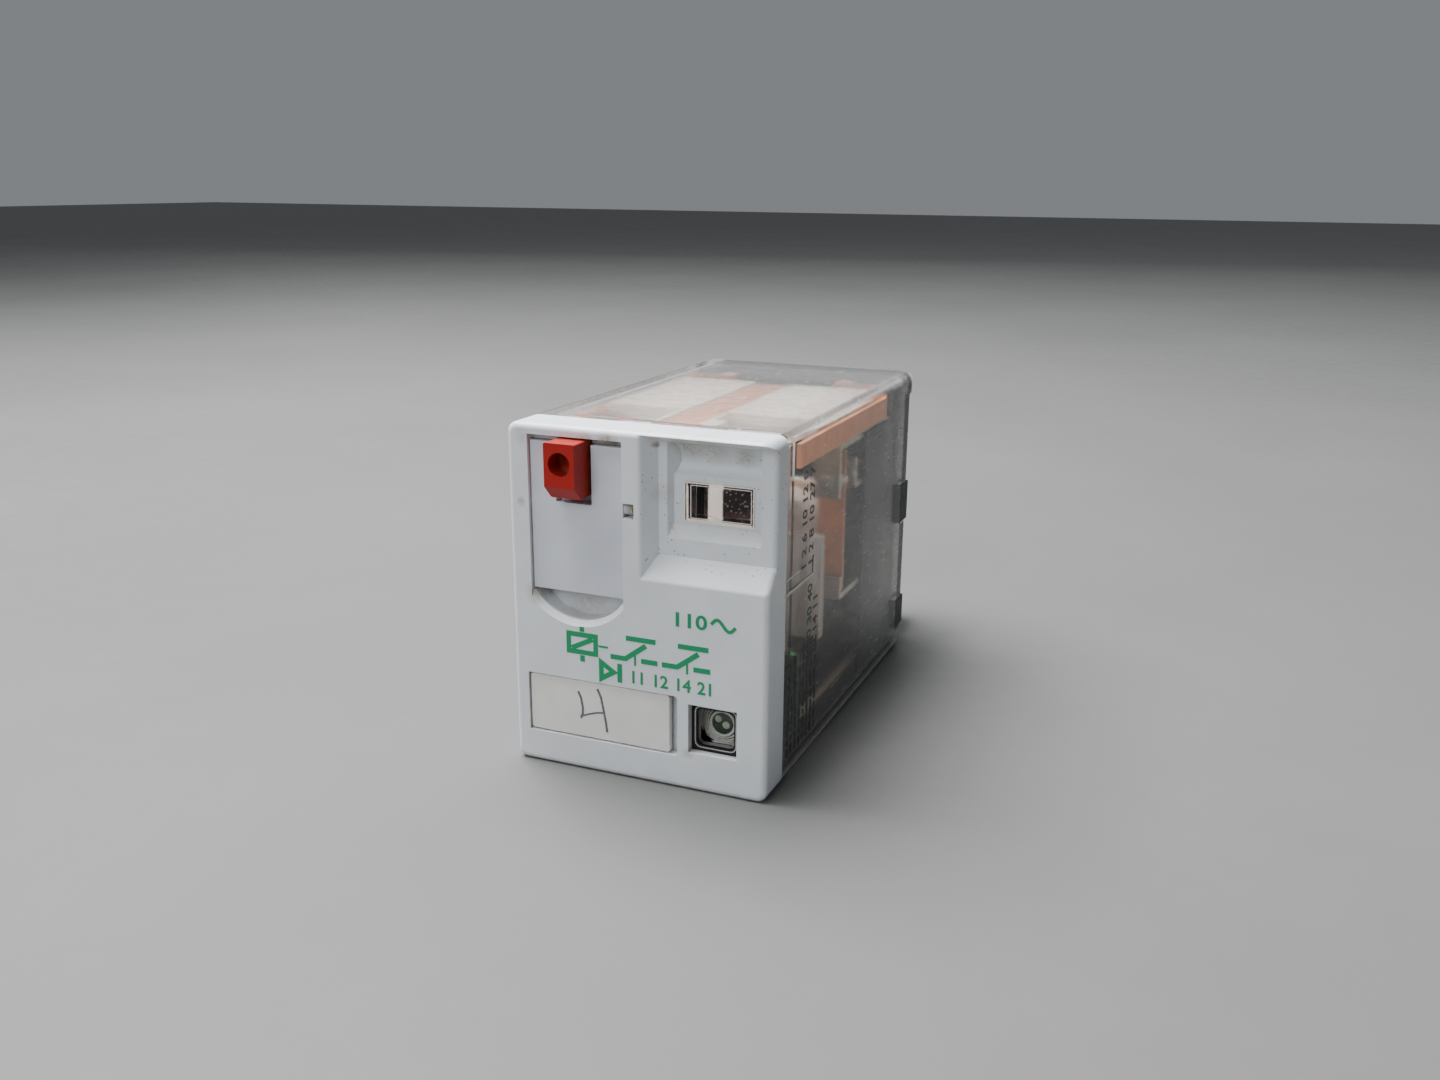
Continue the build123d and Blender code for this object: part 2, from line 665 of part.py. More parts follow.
def coil_terminal():
    """Coil terminal, short inside."""
    z = (ROW_Z["coil"] - STRIP / 2, ROW_Z["coil"] + STRIP / 2)
    return terminal("coil", box((6.0, BLADE_X[1]), (31.3, BASE_FRONT), z))


def rivet_hole(y):
    """What a contact rivet's shank takes out of a strip."""
    return rod_y(SHANK_R, y, sum(STRIP_X) / 2, CONTACT_Z)


def contact_rivet(y_head, y_shank):
    """Right-hand contact rivet with its head on one side of a strip."""
    head = rod_y(CONTACT_R, y_head, sum(STRIP_X) / 2, CONTACT_Z)
    return head + rivet_hole(y_shank)


def nc_rivet():
    """Normally closed contact, facing back."""
    y = nc_strip_y()
    return contact_rivet((y[1], y[1] + CONTACT_HEAD), (y[0] - 0.15, y[1]))


def no_rivet():
    """Normally open contact, facing forward."""
    y = no_strip_y()
    return contact_rivet((y[0] - CONTACT_HEAD, y[0]), (y[0], y[1] + 0.15))


def moving_rivet():
    """Moving contact, with a head on both sides of its spring."""
    front = contact_rivet((SPRING_Y[0] - CONTACT_HEAD, SPRING_Y[0]), SPRING_Y)
    rear = (SPRING_Y[1], SPRING_Y[1] + CONTACT_HEAD)
    return front + rod_y(CONTACT_R, rear, sum(STRIP_X) / 2, CONTACT_Z)


def moving_spring():
    """Moving contact spring with a tab that the card pushes."""
    blade = box(STRIP_X, SPRING_Y, SPRING_Z)
    blade += box((5.8, STRIP_X[0]), SPRING_Y, (21.9, SPRING_Z[1]))
    root_r = (SPRING_Y[1] - SPRING_Y[0]) / 2
    root = rod_x(root_r, STRIP_X, sum(SPRING_Y) / 2, SPRING_Z[0])
    return blade + root - rivet_hole(SPRING_Y)


def base_lugs(gap):
    """Side lugs that snap into the clear cover's rear edge, grown by a gap for the notches."""
    lugs = []
    for z in ((2.2, 5.0), (12.8, 16.5)):
        lug = box((BASE_INNER[0] - 0.5, WIDTH / 2), (35.4 - gap, RIM_REAR), grown(z, gap))
        lugs += both_sides(lug)
    return lugs


def base():
    """Dark base block with side lugs, contact chamber walls and slots for the blades."""
    half, gap = BASE_INNER
    block = wide_box(half, (BASE_FRONT, BODY_DEPTH), (gap, HEIGHT - gap))
    block = fillet(long_edges(block), 0.4)
    body = chamfer(block.faces().sort_by(Axis.Y)[-1].edges(), 0.3)
    for lug in base_lugs(0):
        body += lug
    for wall in both_sides(box((6.35, 6.75), (24.5, BASE_FRONT), (6.4, 18.4))):
        body += wall
    for shelf in both_sides(box((6.75, half), (26.0, BASE_FRONT), (20.7, 21.5))):
        body += shelf
    for shelf in both_sides(box((6.75, half), (25.0, BASE_FRONT), (14.0, 14.8))):
        body += shelf
    for screen in both_sides(box((9.25, half), (25.0, BASE_FRONT), (gap, 23.3))):
        body += screen
    body += wide_box(4.0, (YOKE_Y[1], BASE_FRONT), (4.5, 9.0))
    for row in ROW_Z:
        z = grown((ROW_Z[row] - STRIP / 2, ROW_Z[row] + STRIP / 2), SLOT_GAP)
        slot = box(grown(BLADE_X, SLOT_GAP), (BASE_FRONT, BODY_DEPTH), z)
        jog = box((BLADE_X[0] - SLOT_GAP, WIDTH / 2 - WALL), (BASE_FRONT - JOG - SLOT_GAP, BASE_FRONT), z)
        for cut in both_sides(slot) + both_sides(jog):
            body -= cut
    return body


def as_compound(shape):
    """One compound out of a solid, or out of a list of separate solids."""
    parts = shape if isinstance(shape, list) else [shape]
    solids = [solid for part in parts for solid in part.solids()]
    return Compound(children=solids)


def left_and_right(name, shape):
    """Two nodes: the right-hand shape and its mirror image."""
    right, left = both_sides(shape)
    return {name + "_right": right, name + "_left": left}


def all_nodes():
    """Every node of the relay, by name."""
    nodes = {}
    for make in (front_cover, lock_door, test_button, button_spring, legend_plate, clear_cover,
                 status_flag, led, led_frame, led_holder, led_board, led_resistor, led_diode,
                 led_wires, bobbin, coil_winding, coil_tape, coil_leads, iron_core, yoke, armature,
                 armature_head, armature_clip, contact_card, card_strip, card_rivets, flag_screen,
                 base):
        nodes[make.__name__] = make()
    nodes["shading_ring"] = shading_frame()
    nodes["nc_rivets"] = both_sides(nc_rivet())
    nodes["no_rivets"] = both_sides(no_rivet())
    for make in (nc_terminal, no_terminal, com_terminal, coil_terminal, moving_spring, moving_rivet,
                 side_strap):
        nodes.update(left_and_right(make.__name__, make()))
    return nodes


os.makedirs("parts", exist_ok=True)
to_origin = Pos(0, -BODY_DEPTH, -HEIGHT / 2)
for name, shape in all_nodes().items():
    export_step(to_origin * as_compound(shape), f"parts/{name}.step")
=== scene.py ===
"""Looks of the plug-in control relay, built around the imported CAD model. Lengths are metres."""
import json
import math
import random

import bmesh
import bpy
from mathutils import Matrix, Vector


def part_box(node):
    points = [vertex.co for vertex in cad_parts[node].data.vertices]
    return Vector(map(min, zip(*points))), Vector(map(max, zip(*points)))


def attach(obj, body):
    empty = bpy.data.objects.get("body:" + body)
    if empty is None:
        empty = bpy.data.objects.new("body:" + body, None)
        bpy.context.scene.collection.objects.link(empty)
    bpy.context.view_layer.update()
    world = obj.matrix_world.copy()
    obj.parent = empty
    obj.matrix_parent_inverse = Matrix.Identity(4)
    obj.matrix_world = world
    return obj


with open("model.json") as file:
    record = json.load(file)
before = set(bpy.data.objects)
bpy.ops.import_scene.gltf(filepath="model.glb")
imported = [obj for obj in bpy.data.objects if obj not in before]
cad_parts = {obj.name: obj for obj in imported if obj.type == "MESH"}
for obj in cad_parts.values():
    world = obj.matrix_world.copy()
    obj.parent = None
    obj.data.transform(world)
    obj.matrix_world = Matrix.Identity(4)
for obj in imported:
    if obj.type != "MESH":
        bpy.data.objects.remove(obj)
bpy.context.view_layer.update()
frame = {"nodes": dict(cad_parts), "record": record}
NODES = frame["nodes"]

MM = 0.001
face_low, face_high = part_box("front_cover")
FRONT = face_low.y            # plane of the front face
FLOOR = face_low.z            # the side that the relay rests on
SIDE = face_high.x            # outer plane of the clear cover's right side


def place(x, depth, height):
    """A point given in mm: right of the middle, behind the front face, above the resting side."""
    return Vector((x * MM, FRONT + depth * MM, FLOOR + height * MM))


# ---------------------------------------------------------------- material graphs

class Graph:
    """A material's nodes, with object coordinates in mm at hand."""

    def __init__(self, name):
        self.material = bpy.data.materials.new(name)
        self.material.use_nodes = True
        self.tree = self.material.node_tree
        self.shader = self.tree.nodes["Principled BSDF"]
        coordinates = self.tree.nodes.new("ShaderNodeTexCoord")
        to_mm = self.tree.nodes.new("ShaderNodeVectorMath")
        to_mm.operation = "SCALE"
        to_mm.inputs["Scale"].default_value = 1 / MM
        self.link(coordinates.outputs["Object"], to_mm.inputs[0])
        self.mm = to_mm.outputs[0]

    def link(self, source, target):
        self.tree.links.new(source, target)

    def put(self, value, socket):
        """Links an output, or sets a constant."""
        if isinstance(value, bpy.types.NodeSocket):
            self.link(value, socket)
        else:
            socket.default_value = value

    def stretched(self, x, y, z):
        """The coordinates, scaled along each axis."""
        node = self.tree.nodes.new("ShaderNodeVectorMath")
        node.operation = "MULTIPLY"
        self.link(self.mm, node.inputs[0])
        node.inputs[1].default_value = (x, y, z)
        return node.outputs[0]

    def noise(self, per_mm, detail=3.0, rough=0.55, vector=None):
        node = self.tree.nodes.new("ShaderNodeTexNoise")
        self.link(vector or self.mm, node.inputs["Vector"])
        node.inputs["Scale"].default_value = per_mm
        node.inputs["Detail"].default_value = detail
        node.inputs["Roughness"].default_value = rough
        return node.outputs["Fac"]

    def wave(self, per_mm, direction="X", distort=0.0, vector=None):
        node = self.tree.nodes.new("ShaderNodeTexWave")
        node.bands_direction = direction
        self.link(vector or self.mm, node.inputs["Vector"])
        node.inputs["Scale"].default_value = per_mm
        node.inputs["Distortion"].default_value = distort
        return node.outputs["Fac"]

    def axis(self, name):
        """One coordinate in mm."""
        node = self.tree.nodes.new("ShaderNodeSeparateXYZ")
        self.link(self.mm, node.inputs[0])
        return node.outputs[name]

    def sideways(self):
        """Distance from the middle plane, in cm."""
        return self.math("MULTIPLY", self.math("ABSOLUTE", self.axis("X")), 0.1)

    def above(self, height):
        """Height over a level given in mm above the resting side, in mm."""
        return self.math("SUBTRACT", self.axis("Z"), FLOOR / MM + height)

    def near(self, x, height, radius):
        """1 round a point of the front view, 0 farther off than the radius."""
        node = self.tree.nodes.new("ShaderNodeVectorMath")
        node.operation = "DISTANCE"
        self.link(self.stretched(1.0, 0.0, 1.0), node.inputs[0])
        node.inputs[1].default_value = (x, 0.0, height + FLOOR / MM)
        share = self.math("DIVIDE", node.outputs["Value"], 2 * radius)
        return self.ramp(share, [(0.15, 1.0), (0.5, 0.0)])

    def spots(self, per_mm, size):
        """Small round specks: 1 in a speck, 0 elsewhere."""
        node = self.tree.nodes.new("ShaderNodeTexVoronoi")
        self.link(self.mm, node.inputs["Vector"])
        node.inputs["Scale"].default_value = per_mm
        return self.ramp(node.outputs["Distance"], [(size * 0.6, 1.0), (size, 0.0)])

    def ramp(self, value, stops):
        """A grey ramp: stops are (position, brightness)."""
        node = self.tree.nodes.new("ShaderNodeValToRGB")
        self.link(value, node.inputs[0])
        elements = node.color_ramp.elements
        while len(elements) < len(stops):
            elements.new(1.0)
        for element, (position, level) in zip(elements, stops):
            element.position = position
            element.color = (level, level, level, 1.0)
        return node.outputs["Color"]

    def math(self, operation, a, b=0.0):
        node = self.tree.nodes.new("ShaderNodeMath")
        node.operation = operation
        self.put(a, node.inputs[0])
        self.put(b, node.inputs[1])
        return node.outputs[0]

    def mix(self, a, b, factor):
        node = self.tree.nodes.new("ShaderNodeMix")
        node.data_type = "RGBA"
        self.put(factor, node.inputs["Factor"])
        for value, socket in ((a, node.inputs[6]), (b, node.inputs[7])):
            self.put(value if isinstance(value, bpy.types.NodeSocket) else (*value, 1.0), socket)
        return node.outputs[2]

    def crevice(self, reach):
        """1 in corners and gaps narrower than reach, 0 in the open."""
        node = self.tree.nodes.new("ShaderNodeAmbientOcclusion")
        node.samples = 6
        node.inputs["Distance"].default_value = reach
        return self.math("SUBTRACT", 1.0, node.outputs["AO"])

    def bump(self, height, depth, strength=1.0):
        node = self.tree.nodes.new("ShaderNodeBump")
        node.inputs["Distance"].default_value = depth
        node.inputs["Strength"].default_value = strength
        self.put(height, node.inputs["Height"])
        self.link(node.outputs["Normal"], self.shader.inputs["Normal"])

    def colour(self, value):
        self.put(value, self.shader.inputs["Base Color"])

    def roughness(self, value):
        self.put(value, self.shader.inputs["Roughness"])

    def set(self, **sockets):
        """Constants on the shader, such as metallic=1.0."""
        for name, value in sockets.items():
            title = name.replace("_", " ").title().replace("Ior", "IOR")
            self.shader.inputs[title].default_value = value


def moulded_plastic(name, colour, roughness=0.42, soften=0.12, dirt_and_shade=0.0, specks=0.0, gloss=0.5,
                    stains_and_shade=()):
    """Matt thermoplastic: fine spark-eroded grain, cloudy colour, brown soiling, and painted shade in
    corners, gaps and given spots.
    """
    g = Graph(name)
    darker = tuple(c * 0.94 for c in colour)
    base = g.mix(darker, colour, g.ramp(g.noise(0.35, 4), [(0.35, 0.0), (0.65, 1.0)]))
    if dirt_and_shade:
        # brownish soiling mixed with painted shade: the colour darkens in corners and narrow gaps,
        # where shade falls
        patchy = g.ramp(g.noise(1.1, 5), [(0.42, 0.15), (0.62, 1.0)])
        corner = g.ramp(g.crevice(0.7 * MM), [(0.10, 0.0), (0.50, 1.0)])
        grime_and_shade = g.math("MULTIPLY", g.math("MULTIPLY", patchy, corner), dirt_and_shade)
        base = g.mix(base, (0.27, 0.20, 0.11), grime_and_shade)
    blotch = g.ramp(g.noise(3.2, 5), [(0.34, 0.40), (0.60, 1.0)]) if stains_and_shade else None
    # each spot darkens the colour towards brown: soiling, with painted shade or shadow at some of the
    # face's spots
    for x, height, radius, strength in stains_and_shade:
        patch = g.math("MULTIPLY", blotch, g.near(x, height, radius))
        base = g.mix(base, (0.26, 0.19, 0.10), g.math("MULTIPLY", patch, strength))
    if specks:
        upper = g.ramp(g.math("MULTIPLY", g.axis("Z"), 0.1), [(0.22, 0.0), (0.42, 1.0)])
        upper = g.math("MULTIPLY", upper, g.ramp(g.axis("X"), [(0.0, 0.12), (0.8, 1.0)]))
        few = g.ramp(g.noise(0.6, 2), [(0.44, 0.0), (0.58, 1.0)])
        dots = g.math("MULTIPLY", g.math("MULTIPLY", g.spots(2.3, 0.20), few), upper)
        base = g.mix(base, (0.20, 0.17, 0.14), g.math("MULTIPLY", dots, specks))
    g.colour(base)
    g.roughness(g.ramp(g.noise(5.0, 3), [(0.3, roughness - 0.05), (0.7, roughness + 0.08)]))
    g.bump(g.noise(9.0, 4, 0.6), 0.012 * MM, 0.5)
    g.set(subsurface_weight=soften, subsurface_scale=0.8 * MM, specular_ior_level=gloss)
    return g.material


def clear_plastic(name, tint=(0.985, 0.97, 0.955), roughness=0.03, scratches=1.0, bend=1.12):
    """Clear polycarbonate: flow ripple, hairline scratches and haze that grows towards the rear.

    The sides also carry thin streaky dust and a paler lower edge, which is a painted reflection of the
    floor.
    """
    g = Graph(name)
    depth = g.math("ADD", g.math("MULTIPLY", g.axis("Y"), 0.025), 1.0)
    rear = g.ramp(depth, [(0.08, 0.0), (0.24, 0.10 * scratches), (0.85, 0.14 * scratches)])
    haze = g.math("ADD", g.ramp(g.noise(1.1, 5), [(0.45, roughness), (0.75, roughness + 0.08)]), rear)
    hairlines = g.ramp(g.noise(6.0, 2, vector=g.stretched(1.0, 0.05, 1.0)), [(0.66, 0.0), (0.70, 1.0)])
    g.roughness(g.math("ADD", haze, g.math("MULTIPLY", hairlines, 0.12 * scratches)))
    g.colour(g.mix(tint, tuple(c * 0.97 for c in tint), g.noise(0.6, 2)))
    g.bump(g.noise(0.55, 2), 0.02 * MM, 0.35)
    streaks = g.ramp(g.noise(2.6, 2, vector=g.stretched(1.0, 1.0, 0.04)), [(0.36, 0.0), (0.76, 1.0)])
    cloud = g.ramp(g.noise(0.35, 4), [(0.36, 0.30), (0.62, 1.0)])
    flank = g.ramp(g.sideways(), [(0.92, 0.0), (1.0, scratches)])
    dust_film_and_reflection = g.math("MULTIPLY", g.math("MULTIPLY", streaks, cloud), 0.07)
    # paler band low on the sides: painted reflection of the floor
    lower = g.math("MULTIPLY", g.above(0.0), 0.1)
    dust_film_and_reflection = g.math("ADD", dust_film_and_reflection, g.ramp(lower, [(0.06, 0.35), (0.13, 0.08), (0.95, 0.0)]))
    clear = g.math("SUBTRACT", 1.0, g.math("MULTIPLY", dust_film_and_reflection, flank))
    g.put(clear, g.shader.inputs["Transmission Weight"])
    g.set(ior=bend)
    return g.material


def side_streaked_plastic(name, colour):
    """Cream moulding, darker and browner in upright streaks on its parts near the sides of the case."""
    g = Graph(name)
    streaks = g.ramp(g.noise(1.3, 4, vector=g.stretched(1.0, 1.0, 0.10)), [(0.38, 0.15), (0.62, 1.0)])
    outer = g.ramp(g.sideways(), [(0.60, 0.0), (0.80, 0.8)])
    # upright streaks darken the cream towards brown on parts more than 6 mm off the middle
    g.colour(g.mix(colour, (0.40, 0.31, 0.26), g.math("MULTIPLY", streaks, outer)))
    g.roughness(g.ramp(g.noise(5.0, 3), [(0.3, 0.33), (0.7, 0.46)]))
    g.bump(g.noise(9.0, 4, 0.6), 0.012 * MM, 0.5)
    g.set(subsurface_weight=0.2, subsurface_scale=0.8 * MM)
    return g.material


def brushed_metal(name, colour, roughness=0.3, direction=(1.0, 0.04, 1.0), tarnish=0.25):
    """Rolled or plated metal: brush lines, cloudy tarnish and small dents."""
    g = Graph(name)
    lines = g.noise(14.0, 3, vector=g.stretched(*direction))
    dull = tuple(c * 0.62 for c in colour)
    stain = g.ramp(g.noise(0.9, 5), [(0.42, 0.0), (0.7, tarnish * 2)])
    g.colour(g.mix(colour, dull, stain))
    g.roughness(g.ramp(lines, [(0.3, roughness - 0.08), (0.7, roughness + 0.12)]))
    g.bump(lines, 0.01 * MM, 0.4)
    g.set(metallic=1.0)
    return g.material


def ribbed_plastic(name):
    """Dark glass-filled plastic with fine upright ribs, their crests painted lighter as highlights."""
    g = Graph(name)
    ribs = g.wave(0.62, "Y", 0.6)
    # lighter colour on the rib crests: painted highlight
    lit = g.math("MULTIPLY", ribs, g.noise(0.7, 4))
    g.colour(g.mix((0.008, 0.009, 0.011), (0.060, 0.060, 0.064), lit))
    g.roughness(g.ramp(g.noise(5.0, 3), [(0.3, 0.45), (0.7, 0.6)]))
    g.bump(ribs, 0.03 * MM)
    g.set(specular_ior_level=0.2)
    return g.material


def wound_copper(name):
    """Enamelled winding: one ridge for every turn along the coil, with painted shade between turns and
    painted highlights on them.
    """
    g = Graph(name)
    turns = g.wave(1.6, "Y", 0.0)
    # colour follows the turns: painted shade in the grooves, painted highlight on the crests
    g.colour(g.mix((0.42, 0.16, 0.07), (0.80, 0.38, 0.19), turns))
    g.roughness(g.ramp(g.noise(4.0, 3), [(0.3, 0.25), (0.7, 0.4)]))
    g.bump(turns, 0.03 * MM)
    g.set(metallic=0.9)
    return g.material


def wrapped_tape(name, colour):
    """Satin tape: overlapping wraps with soft wrinkles."""
    g = Graph(name)
    wraps = g.wave(0.11, "Y", 1.5)
    g.colour(g.mix(colour, tuple(c * 0.82 for c in colour), g.ramp(wraps, [(0.0, 1.0), (0.16, 0.0)])))
    g.roughness(g.ramp(g.noise(3.0, 4), [(0.3, 0.32), (0.7, 0.5)]))
    g.bump(g.math("ADD", wraps, g.math("MULTIPLY", g.noise(2.2, 4), 0.5)), 0.04 * MM)
    g.set(sheen_weight=0.1)
    return g.material


def circuit_board(name):
    """Green solder mask over copper tracks."""
    g = Graph(name)
    tracks = g.ramp(g.wave(0.45, "X", 2.0), [(0.6, 0.0), (0.66, 1.0)])
    g.colour(g.mix((0.02, 0.10, 0.04), (0.05, 0.22, 0.08), tracks))
    g.roughness(g.ramp(g.noise(6.0, 3), [(0.3, 0.25), (0.7, 0.4)]))
    g.bump(tracks, 0.02 * MM)
    return g.material


def ink(name, colour, wear=0.5):
    """Pad-printed ink, thin and broken in places."""
    g = Graph(name)
    faded = tuple(min(1.0, c * 1.5 + 0.06) for c in colour)
    g.colour(g.mix(colour, faded, g.ramp(g.noise(3.2, 5), [(0.45, 0.0), (0.75, wear)])))
    g.roughness(g.ramp(g.noise(8.0, 2), [(0.3, 0.38), (0.7, 0.55)]))
    g.bump(g.noise(12.0, 3), 0.006 * MM)
    return g.material


def flag_drum(name):
    """Drum with one pale band between dark ones, facing the window; the band glows as painted light."""
    g = Graph(name)
    low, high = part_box("status_flag")
    left = low.x / MM
    width = (high.x - low.x) / MM
    position = g.math("DIVIDE", g.math("SUBTRACT", g.axis("X"), left), width)
    band = g.ramp(position, [(0.18, 0.0), (0.21, 1.0), (0.47, 1.0), (0.50, 0.0)])
    dust = g.math("MULTIPLY", g.spots(3.4, 0.36), g.ramp(g.noise(1.2, 2), [(0.4, 0.4), (0.6, 1.0)]))
    dark = g.mix((0.030, 0.020, 0.022), (0.60, 0.52, 0.50), dust)
    lower = g.math("MULTIPLY", g.above(18.5), 0.25)
    patchy = g.ramp(g.noise(2.6, 4), [(0.4, 0.3), (0.6, 1.0)])
    rust = g.math("MULTIPLY", g.ramp(lower, [(0.20, 1.0), (0.42, 0.0)]), patchy)
    dark = g.mix(dark, (0.30, 0.15, 0.13), rust)
    g.colour(g.mix(dark, (0.95, 0.87, 0.80), band))
    # the pale band glows: painted light for the light it gets through the window
    g.put(g.mix((0.0, 0.0, 0.0), (0.95, 0.84, 0.76), band), g.shader.inputs["Emission Color"])
    g.set(emission_strength=0.45)
    g.roughness(g.ramp(g.noise(4.0, 3), [(0.3, 0.35), (0.7, 0.5)]))
    g.bump(g.noise(9.0, 4), 0.01 * MM)
    return g.material


# spots on the face, (x, height, radius, strength): soiling above the door, round its pivot, beside the
# finger recess and at the lamp; soiling with painted shadow under the top rim of the window pocket;
# painted shade on the floor of the finger recess
FACE_STAINS_AND_SHADE = [
    (-2.1, 25.95, 1.1, 0.9), (-3.9, 26.0, 0.8, 0.8), (-0.5, 21.1, 0.75, 0.6), (-8.4, 13.9, 1.1, 0.5),
    (4.3, 3.0, 0.6, 0.35), (1.2, 26.0, 0.3, 1.0), (-9.4, 21.0, 0.5, 0.6), (3.4, 25.9, 1.3, 0.55),
    (7.6, 25.4, 1.0, 0.55), (5.4, 25.9, 1.6, 0.40), (1.6, 22.4, 0.9, 0.25), (-9.2, 26.0, 0.8, 0.30),
    # painted shade on the floor of the finger recess, under the door
    (-4.9, 13.2, 2.3, 0.35),
]


def dress_nodes():
    """Gives every carried CAD node the procedural material of its slot."""
    made = {
        "face_plastic": moulded_plastic("face_moulding", (0.70, 0.72, 0.745), 0.40, dirt_and_shade=0.25,
                                        specks=0.9, stains_and_shade=FACE_STAINS_AND_SHADE),
        "door_plastic": moulded_plastic("door_moulding", (0.62, 0.63, 0.69), 0.36, dirt_and_shade=0.1,
                                        specks=0.3, stains_and_shade=[(-0.5, 21.1, 0.6, 1.0)]),
        "button_plastic": moulded_plastic("button_moulding", (0.35, 0.019, 0.014), 0.34, 0.0,
                                          dirt_and_shade=0.3, gloss=0.15),
        "legend_plastic": moulded_plastic("legend_moulding", (0.78, 0.75, 0.72), 0.5, dirt_and_shade=0.4,
                                          specks=0.3),
        "clear_plastic": clear_plastic("clear_moulding"),
        "flag_plastic": flag_drum("flag_drum"),
        "led_epoxy": clear_plastic("led_epoxy", (0.93, 0.97, 0.92), 0.02, 0.0, 1.3),
        "board_laminate": circuit_board("circuit_board"),
        "component_body": moulded_plastic("resistor_lacquer", (0.50, 0.40, 0.26), 0.3),
        "diode_body": moulded_plastic("diode_moulding", (0.02, 0.02, 0.022), 0.35, 0.0),
        "wire_insulation": moulded_plastic("wire_insulation", (0.50, 0.40, 0.28), 0.35),
        "cream_plastic": side_streaked_plastic("cream_moulding", (0.93, 0.84, 0.76)),
        "copper_wire": wound_copper("wound_copper"),
        "coil_tape": wrapped_tape("coil_tape", (0.90, 0.78, 0.68)),
        "plated_iron": brushed_metal("plated_iron", (0.48, 0.46, 0.44), 0.32),
        "spring_steel": brushed_metal("spring_steel", (0.55, 0.55, 0.55), 0.25),
        "copper_alloy": brushed_metal("copper_alloy", (1.0, 0.46, 0.26), 0.42, tarnish=0.15),
        "tinned_brass": brushed_metal("tinned_brass", (0.62, 0.55, 0.44), 0.28),
        "silver_contact": brushed_metal("silver_contact", (0.86, 0.85, 0.82), 0.22, tarnish=0.4),
        "base_plastic": ribbed_plastic("base_moulding"),
    }
    slot_of = {part["node"]: part["material_slot"] for part in frame["record"]["subparts"]}
    for name, node in NODES.items():
        node.data.materials.clear()
        node.data.materials.append(made[slot_of[name]])


# ---------------------------------------------------------------- prints

INK = 0.016 * MM              # thickness of a print
# drawing plane on the face, read from the front
FACE_INK = Matrix.Translation(place(0, -0.01, 0)) @ Matrix.Rotation(math.pi / 2, 4, "X")


def side_plane():
    """Drawing plane on the skin of the clear right side, read from the bottom upwards."""
    along, up, out = Vector((0, 0, 1)), Vector((0, -1, 0)), Vector((1, 0, 0))
    turn = Matrix((along, up, out)).transposed().to_4x4()
    skin = Vector((SIDE, FRONT, FLOOR))
    return Matrix.Translation(skin) @ turn


class Print:
    """Flat marks on one plane: figures and lines, given in mm along the plane's own axes."""

    def __init__(self, plane):
        self.plane = plane
        self.mesh = bmesh.new()
        self.level = 0.0

    def raise_level(self):
        """Each mark lies a hair above the last, so that crossing marks never share a surface."""
        self.level += 0.0004 * MM
        return self.level

    def figures(self, text, x, y, height, stretch=1.0, weight=0.02):
        """Numerals with their lower left corner at a point."""
        curve = bpy.data.curves.new("figures", "FONT")
        curve.body = text
        curve.size = height * MM / 0.69
        curve.extrude = INK / 2
        curve.resolution_u = 3
        curve.offset = weight * height * MM
        typed = bpy.data.objects.new("figures", curve)
        outline = bpy.data.meshes.new_from_object(typed)
        corner = Matrix.Translation((x * MM, y * MM, self.raise_level()))
        outline.transform(corner @ Matrix.Diagonal((stretch, 1, 1, 1)))
        self.mesh.from_mesh(outline)
        bpy.data.objects.remove(typed)
        bpy.data.curves.remove(curve)
        bpy.data.meshes.remove(outline)

    def line(self, points, width, closed=False):
        """A ribbon with mitred corners through the points."""
        path = [Vector(p) * MM for p in points]
        half = width * MM / 2
        count = len(path)
        level = self.raise_level()
        rows = []
        for i, point in enumerate(path):
            before = path[i - 1] if i or closed else None
            after = path[(i + 1) % count] if i < count - 1 or closed else None
            ahead = (after - point).normalized() if after else (point - before).normalized()
            behind = (point - before).normalized() if before else ahead
            bisector = (ahead + behind).normalized()
            side = Vector((-bisector.y, bisector.x))
            reach = half / max(0.35, side.dot(Vector((-behind.y, behind.x))))
            rows.append([
                self.mesh.verts.new((*(point + side * reach * s), level + z))
                for s, z in ((1, INK / 2), (-1, INK / 2), (-1, -INK / 2), (1, -INK / 2))
            ])
        pairs = list(zip(rows, rows[1:])) + ([(rows[-1], rows[0])] if closed else [])
        for a, b in pairs:
            for k in range(4):
                self.mesh.faces.new((a[k], a[(k + 1) % 4], b[(k + 1) % 4], b[k]))
        if not closed:
            self.mesh.faces.new(rows[0][::-1])
            self.mesh.faces.new(rows[-1])

    def finish(self, name, material):
        """Makes the piece, which rides on the housing."""
        bmesh.ops.transform(self.mesh, matrix=self.plane, verts=self.mesh.verts)
        finish_piece(name, self.mesh, material)


